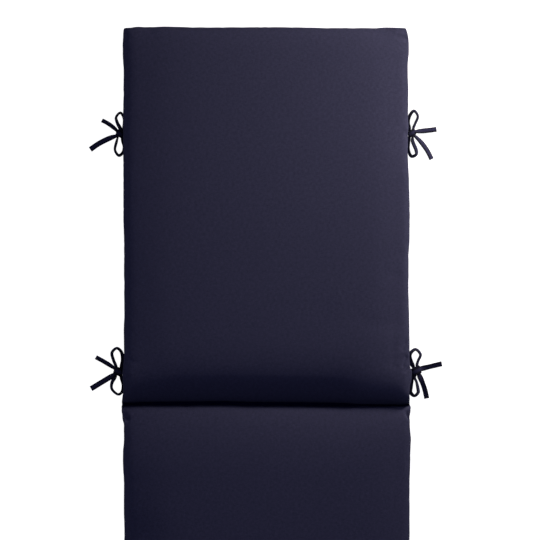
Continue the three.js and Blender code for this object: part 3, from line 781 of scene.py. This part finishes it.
def addFolds(shape, s):
    face = shape["face"]
    normal = faceNormals(face)
    x, at = face[..., 0], s["length"] / 2 - face[..., 1]
    for row in zip(*faceFolds.values()):
        fold = dict(zip(faceFolds, row))
        way = np.array([fold["endX"] - fold["x"], fold["endAt"] - fold["at"]], float)
        length = np.linalg.norm(way)
        way /= length
        along = (x - fold["x"]) * way[0] + (at - fold["at"]) * way[1]
        past = np.maximum(0, np.abs(along / length - 0.5) - s["foldEven"]) * length
        aside = (x - fold["x"]) * way[1] - (at - fold["at"]) * way[0]
        push = fold["rise"] * np.exp(-(aside**2 + past**2) / fold["spread"] ** 2)
        face += normal * push[..., None]


# The seam's own relief: the two cloths stand up in a low ridge, with a dip on each side of it.
seamRelief = {
    "distance": [0, 1.2, 2.6, 4.5, 7, 10],
    "rise": [0.6, 0.35, 0.05, -0.15, -0.1, 0],
}


def addSeamRidge(shape, s):
    face, rings = shape["face"], shape["rings"]
    columns, at = shape["columns"], shape["at"]
    fromSide = np.minimum(columns, columns[-1] - columns)[None, :]
    fromEnd = (np.minimum(at, s["length"] - at) - s["endInset"])[:, None]
    inward = np.minimum(fromSide, fromEnd)
    rise = readTable(seamRelief, "distance", "rise", inward)
    face += faceNormals(face) * rise[..., None]
    rings[0] = face[shape["edge"]]
    out = wayOut(rings[0])
    steps = shape["steps"]
    height = np.linalg.norm(rings[0] - rings[len(steps) - 1], axis=1)
    for k, step in enumerate(steps):
        fromTop = readTable(seamRelief, "distance", "rise", step * height)
        fromBottom = readTable(seamRelief, "distance", "rise", (1 - step) * height)
        rings[k] += out * (fromTop + fromBottom)[:, None]
    face[shape["edge"]] = rings[0]


# Painted shade in the hinge's sewn channel and up the roll beside it, by the distance to the crease.
channelShade = {
    "toHead": [-14, -11, -9, -7.5, -6, -5, -4, -3, -1.5, 0, 1.5, 2.4, 3.2, 4, 5, 7, 20, 40, 58, 78],
    "share": [0, 0.08, 0.22, 0.42, 0.64, 0.78, 0.9, 0.97, 1, 1, 0.97, 0.88, 0.72, 0.55, 0.38, 0.28,
              0.26, 0.22, 0.1, 0],
}

# How far that painted shade reaches: less toward the right side, where the channel is tighter.
shadeReach = {"x": [-292, 150, 195, 255, 292], "share": [0.95, 1, 0.6, 0.5, 0.3]}

# Painted shade on the upper part of each side, just under its seam, and how far down it reaches.
sideShade = {"left": 0, "right": 0.7, "end": 0.8, "reach": 0.4}


# Writes on the mesh, for its canvas, how much painted shade each point gets: 0 in the open, 1 in the
# channel.
def paintShade(piece, shape, s):
    reach = readTable(shadeReach, "x", "share", shape["face"][..., 0])
    toHead = (s["back"] - shape["at"])[:, None] / reach
    dark = readTable(channelShade, "toHead", "share", toHead)
    onFace = dark.ravel()
    steps = shape["steps"][1:, None]
    side = np.where(shape["rings"][0][:, 0] < 0, sideShade["left"], sideShade["right"])
    side = np.where(shape["endways"], sideShade["end"], side)
    side = side[None, :] * (1 - ease(steps / sideShade["reach"]))
    onSides = np.maximum(dark[shape["edge"]][None, :] * (1 - steps) ** 2, side)
    values = np.zeros(len(piece.data.vertices), np.float32)
    values[:len(onFace)] = onFace
    values[len(onFace):len(onFace) + onSides.size] = onSides.ravel()
    piece.data.attributes.new("paintedShade", "FLOAT", "POINT").data.foreach_set("value", values)


cover = coverShape(cushionSizes)
addPuckers(cover, simulatedCover(cushionSizes, clothSettings), cushionSizes, clothSettings)
print("puckers simulated")
addFolds(cover, cushionSizes)
addSeamRidge(cover, cushionSizes)
cushion = coverMesh("cushion-cover", cover)
paintShade(cushion, cover, cushionSizes)
cushion.data.materials.append(canvas)
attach(cushion, "root")
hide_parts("cushion")
print("cushion:", len(cushion.data.polygons), "faces")


# The ties, in millimetres until their points are finished: a flat canvas tape, folded and stitched
# along both edges, caught in the bottom seam at its middle and tied in a bow.
tapeSizes = {
    "width": 11, "thickness": 3, "step": 1.5, "clearance": 0.4, "flatLength": 420,
    "sectionPlaces": [0, 1.2, 2.3, 2.9, 3.3, 3.65, 4, 4.4, 4.75],
    "stitchInset": 1.7, "plainFrom": 1, "foldFrom": 0.7, "rimFrom": 0.35,
    # Thickness in the middle, on the stitch line, on the fold, at its rim and at the edge, as shares.
    "middle": 0.94, "stitch": 0.72, "fold": 0.95, "rim": 0.78, "edge": 0.5,
    "gathered": 0.85, "gatherReach": 12, "bunching": 0.5,   # narrower and thicker beside the knot
    "knotStart": 3, "tailDrop": 0.35, "tailStartLean": 0.25, "tailPlaces": (0, 0.2, 0.4, 0.7, 1),
    "bandOut": 8.7, "bandUp": 4.4, "bandWidth": 17.5, "bandTurn": 17, "bandSteps": 56,
    "pleats": 3, "pleatDepth": 0.45, "swollen": 0.9, "skew": 1.3,
    "core": (8, 8.6, 4), "coreRounds": 10, "coreTurns": 20,
    # The knot's core is laid on the tape's painted edge shade, so the core is painted darker.
    "coreShadeSpot": (5, 0), "coreSpread": 0.5,                  # laid out on the tape's darker edge
    "rootSpread": 3.2, "rootStart": 3, "rootTuck": 1.5,
}

# out is measured away from the cushion and along toward the head, both from the knot. A loop's rows
# run from the knot along the strand beside the cushion, round the tip and back. A lean is the
# tape's angle from standing on its edge. A tail's bow is how far its middle stands toward the head.
# knot is the knot's share of its full size, and rootAlong where the tape leaves the seam.
bows = [
    {"name": "tie-left-head", "side": -1, "knotX": 301, "fromHead": 215.5,
     "rootAlong": 0.5, "knot": 0.78,
     "loops": [
         {"out": [-6.5, -8.2, -8, -1, 7.8, 5, -1], "along": [8, 18, 33, 43.5, 34, 22, 9],
          "lean": [20, 18, 18, 18, 20, 30, 34]},
         {"out": [-5.5, -8.6, -6.5, 2, 10, 7], "along": [-14, -26.5, -37.5, -44.5, -33.5, -16.5],
          "lean": [24, 22, 22, 20, 18, 22]},
     ],
     "tails": [
         {"endOut": 37, "endAlong": 28, "bow": 2.4, "lean": 44},
         {"endOut": 61, "endAlong": -32, "bow": 3.4, "lean": 80},
     ]},
    {"name": "tie-right-head", "side": 1, "knotX": 299, "fromHead": 214,
     "rootAlong": 0.5, "knot": 0.8,
     "loops": [
         {"out": [-5.5, -7.5, -4, 4.5, 12.6, 7.3, 3], "along": [10, 22, 36, 46, 35, 20, 9],
          "lean": [42, 34, 26, 24, 19, 20, 20]},
         {"out": [-6, -6.8, -0.5, 9, 9.2, 1.5], "along": [-12, -34, -47.5, -44, -36, -15],
          "lean": [34, 22, 24, 24, 34, 32]},
     ],
     "tails": [
         {"endOut": 51, "endAlong": 8, "bow": -0.4, "lean": 62},
         {"endOut": 41, "endAlong": -53.5, "bow": 4, "lean": 54},
     ]},
    {"name": "tie-left-hinge", "side": -1, "knotX": 304, "fromHead": 704,
     "rootAlong": 2, "knot": 0.95,
     "loops": [
         {"out": [-6.5, -9, -5.4, 3.2, 13.2, 10, 5], "along": [10, 24, 41, 48, 39, 23, 11],
          "lean": [42, 40, 24, 18, 26, 28, 26]},
         {"out": [-6.5, -10, -6.5, 0.5, 13.4, 13.6, 7.5], "along": [-13, -29, -43, -47, -36, -24, -12],
          "lean": [36, 28, 20, 18, 22, 28, 38]},
     ],
     "tails": [
         {"endOut": 46.5, "endAlong": 29.5, "bow": 1, "lean": 44},
         {"endOut": 56.5, "endAlong": -35.5, "bow": 0, "lean": 84},
     ]},
    {"name": "tie-right-hinge", "side": 1, "knotX": 308, "fromHead": 703,
     "rootAlong": -3, "knot": 1,
     "loops": [
         {"out": [-6.8, -11.4, -13.3, -9.3, -1, 9, 4, 1.6],
          "along": [10.7, 20.7, 32, 39.5, 44.5, 33.9, 20.7, 10.7],
          "lean": [44, 50, 40, 28, 22, 22, 22, 22]},
         {"out": [-8.5, -11, -11.6, -3.4, 4.2, 3.5, 0.7, -2.7],
          "along": [-14, -30.6, -43.8, -51, -43.8, -35.5, -22.3, -13.2],
          "lean": [44, 48, 40, 24, 32, 30, 20, 18]},
     ],
     "tails": [
         {"endOut": 53, "endAlong": 15, "bow": 0, "lean": 116},
         {"endOut": 22, "endAlong": -56.5, "bow": 2.6, "lean": 118},
     ]},
]

# The sewn ends, from the knot to the seam: shares of the way out to the seam, of the way along to
# the seam's place, and of the full spread between the two strands.
rootRows = {"reach": [0, 0.35, 0.7, 1], "along": [0, 0.45, 1, 1], "apart": [0.3, 0.7, 1, 1]}


# A centripetal curve through points, cut into even steps.
def curveThrough(points, step):
    samples, fewest = 24, 4
    points = np.array(points, float)
    first = 2 * points[0] - points[1]
    last = 2 * points[-1] - points[-2]
    p = np.vstack([first, points, last])
    gap = np.sqrt(np.linalg.norm(np.diff(p[:, :3], axis=0), axis=1))[:, None]
    near = (p[1:-1] - p[:-2]) / gap[:-1] + (p[2:] - p[1:-1]) / gap[1:]
    near -= (p[2:] - p[:-2]) / (gap[:-1] + gap[1:])
    pieces = []
    for k in range(len(points) - 1):
        t = np.linspace(0, 1, samples)[:, None]
        start, end = points[k], points[k + 1]
        leave, arrive = near[k] * gap[k + 1], near[k + 1] * gap[k + 1]
        rise = 3 * t**2 - 2 * t**3
        curve = start + (end - start) * rise
        curve += leave * (t**3 - 2 * t**2 + t) + arrive * (t**3 - t**2)
        pieces.append(curve[:-1] if k + 2 < len(points) else curve)
    line = np.vstack(pieces)
    travel = np.linalg.norm(np.diff(line[:, :3], axis=0), axis=1)
    distance = np.concatenate([[0], np.cumsum(travel)])
    even = np.linspace(0, distance[-1], max(fewest, round(distance[-1] / step)))
    line = np.column_stack([np.interp(even, distance, column) for column in line.T])
    return line, even


# The height of the tape's middle where its lower edge rests on the floor.
def restHeight(s, lean):
    angle = math.radians(lean)
    tall = s["width"] * abs(math.cos(angle)) + s["thickness"] * math.sin(angle)
    return s["clearance"] + tall / 2


# The tape's section as places across it and heights, right round: rolled edges, two stitch lines.
def tapeSection(s):
    half = s["width"] / 2
    stitch = half - s["stitchInset"]
    plain, fold, rim = stitch - s["plainFrom"], stitch + s["foldFrom"], half - s["rimFrom"]
    table = {
        "across": [0, plain, stitch, fold, rim, half],
        "share": [s["middle"], 1, s["stitch"], s["fold"], s["rim"], s["edge"]],
    }
    places = np.append(s["sectionPlaces"], half)
    across = np.concatenate([-places[::-1], places[1:]])
    height = readTable(table, "across", "share", np.abs(across)) * s["thickness"] / 2
    return np.concatenate([across, across[::-1]]), np.concatenate([height, -height[::-1]])


# Where the section's points lie on the flat tape at each distance along it.
def tapeSpots(across, travel):
    return np.stack(np.broadcast_arrays(across[None, :], travel[:, None]), axis=-1).reshape(-1, 2)


# Sweeps the tape's section along stations of x, y, z and lean, with both ends closed.
def tapeMesh(s, stations, gatheredAt):
    line, travel = curveThrough(stations, s["step"])
    centre, lean = line[:, :3], np.radians(line[:, 3])[:, None]
    along = unit(np.gradient(centre, axis=0))
    across = unit(np.cross(along, [0, 0, 1]))
    upright = np.cross(across, along)
    wide = upright * np.cos(lean) + across * np.sin(lean)
    thick = np.cross(along, wide)
    fromKnot = travel if gatheredAt == "start" else np.minimum(travel, travel[-1] - travel)
    narrow = s["gathered"] + (1 - s["gathered"]) * ease(fromKnot / s["gatherReach"])
    a, h = tapeSection(s)
    points = centre[:, None] + wide[:, None] * a[None, :, None] * narrow[:, None, None]
    points = points + thick[:, None] * h[None, :, None] / narrow[:, None, None] ** s["bunching"]
    index = np.arange(points[..., 0].size).reshape(points.shape[:2])
    outward = [0, 3, 2, 1]
    quads = ringQuads(index[:-1], index[1:])[:, outward]
    faces = quads.tolist() + [index[0].tolist(), index[-1][::-1].tolist()]
    return points.reshape(-1, 3), faces, tapeSpots(a, travel)


def loopStations(s, loop):
    turn = math.copysign(1, loop["along"][0])
    first, last = ((out, turn * s["knotStart"], 0) for out in (-s["knotStart"], s["knotStart"]))
    rows = [first, *zip(loop["out"], loop["along"], loop["lean"]), last]
    return [(out, along, restHeight(s, lean), lean * turn) for out, along, lean in rows]


def tailStations(s, tail):
    start = np.array([s["knotStart"], math.copysign(s["knotStart"], tail["endAlong"])])
    end = np.array([tail["endOut"], tail["endAlong"]])
    way = (end - start) / np.linalg.norm(end - start)
    middle = (start + end) / 2 + np.array([-way[1], way[0]]) * 2 * tail["bow"]
    stations = []
    for t in s["tailPlaces"]:
        spot = start * (1 - t) ** 2 + middle * 2 * t * (1 - t) + end * t**2
        settled = float(ease(t / s["tailDrop"]))
        lean = tail["lean"] * (s["tailStartLean"] + (1 - s["tailStartLean"]) * settled)
        rest = restHeight(s, lean)
        height = max(s["knotHeight"] + (rest - s["knotHeight"]) * settled, rest)
        stations.append((spot[0], spot[1], height, lean))
    return stations


def rootStations(s, bow, sideX, turn):
    reach = bow["knotX"] - sideX + cushionSizes["bottomSeamInset"] + s["rootTuck"]
    stations = []
    for far, along, apart in zip(rootRows["reach"], rootRows["along"], rootRows["apart"]):
        out = s["rootStart"] - (s["rootStart"] + reach) * far
        place = bow["rootAlong"] * along + turn * s["rootSpread"] * apart
        stations.append((out, place, restHeight(s, 0), 0))
    return stations


# The band drawn round the middle of the bow: an oval ring, pleated along its length.
def bandMesh(s):
    a, h = tapeSection(s)
    a = a * s["bandWidth"] / s["width"]
    pleat = s["pleatDepth"] * np.cos(2 * math.pi * s["pleats"] * a / s["bandWidth"])
    swollen = s["swollen"] * (1 - (2 * a / s["bandWidth"]) ** 2)
    turn = np.linspace(0, 2 * math.pi, s["bandSteps"], endpoint=False)
    way = np.stack([np.cos(turn), np.zeros_like(turn), np.sin(turn)], axis=1)
    size = np.array([s["bandOut"], 0, s["bandUp"]])
    skew = s["skew"] * np.cos(turn)
    rise = h + swollen + np.where(h > 0, pleat - s["pleatDepth"], 0)
    points = way[:, None] * (size + rise[None, :, None])
    points[..., 1] = a[None, :] + skew[:, None]
    tilt = math.radians(s["bandTurn"])
    spin = np.array([[math.cos(tilt), -math.sin(tilt)], [math.sin(tilt), math.cos(tilt)]])
    points[..., :2] = points[..., :2] @ spin.T
    points[..., 2] += s["knotHeight"]
    index = np.arange(points[..., 0].size).reshape(points.shape[:2])
    quads = ringQuads(index, np.roll(index, -1, axis=0))
    travel = turn * (s["bandOut"] + s["bandUp"]) / 2
    return points.reshape(-1, 3), quads.tolist(), tapeSpots(a, travel)


# The rounded bundle of cloth inside the band.
def coreMesh(s):
    turns = s["coreTurns"]
    latitude = np.linspace(-math.pi / 2, math.pi / 2, s["coreRounds"] + 1)[1:-1]
    turn = np.linspace(0, 2 * math.pi, turns, endpoint=False)
    ring = np.stack([np.cos(turn), np.sin(turn)], axis=1)
    rings = [np.column_stack([ring * math.cos(a), np.full(turns, math.sin(a))]) for a in latitude]
    points = np.vstack([*rings, [[0, 0, -1]], [[0, 0, 1]]]) * s["core"]
    points[:, 2] += s["knotHeight"]
    index = np.arange(len(rings) * turns).reshape(len(rings), turns)
    side = np.roll(index, -1, axis=1)
    faces = ringQuads(index[:-1], index[1:]).tolist()
    low, high = len(points) - 2, len(points) - 1
    faces += [[low, side[0, k], index[0, k]] for k in range(turns)]
    faces += [[high, index[-1, k], side[-1, k]] for k in range(turns)]
    # The core's cloth lies on the tape's painted edge shade, which paints the knot darker.
    return points, faces, points[:, :2] * s["coreSpread"] + s["coreShadeSpot"]


# One whole tie, built out to the right and turned to its own side of the cushion.
def buildTie(s, bow):
    line = "left" if bow["side"] < 0 else "right"
    sideX = sideAt(cushionSizes, line, bow["fromHead"])
    s = {**s, "core": [value * bow["knot"] for value in s["core"]]}
    s.update({key: s[key] * bow["knot"] for key in ("bandOut", "bandUp", "bandWidth")})
    s["knotHeight"] = s["clearance"] + s["bandUp"] + s["thickness"] / 2 + s["swollen"]
    pieces = [bandMesh(s), coreMesh(s)]
    pieces += [tapeMesh(s, loopStations(s, loop), "both") for loop in bow["loops"]]
    pieces += [tapeMesh(s, tailStations(s, tail), "start") for tail in bow["tails"]]
    pieces += [tapeMesh(s, rootStations(s, bow, sideX, turn), "start") for turn in (1, -1)]
    points, groups, spots = zip(*pieces)
    shifts = np.cumsum([0, *map(len, points)]).tolist()
    faces = [[corner + shift for corner in face]
             for shift, group in zip(shifts, groups) for face in group]
    place = np.vstack(points)
    place[:, 0] = bow["side"] * (place[:, 0] + bow["knotX"])
    place[:, 1] += cushionSizes["length"] / 2 - bow["fromHead"]
    if bow["side"] < 0:
        faces = [face[::-1] for face in faces]
    corners = np.concatenate([np.array(face) for face in faces])
    return meshFrom(bow["name"] + "-tape", place * mm, faces, np.vstack(spots)[corners] * mm)


for bow in bows:
    tie = buildTie(tapeSizes, bow)
    tie.data.materials.append(tape)
    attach(tie, "root")
    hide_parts(bow["name"])
    print(bow["name"] + ":", len(tie.data.polygons), "faces")
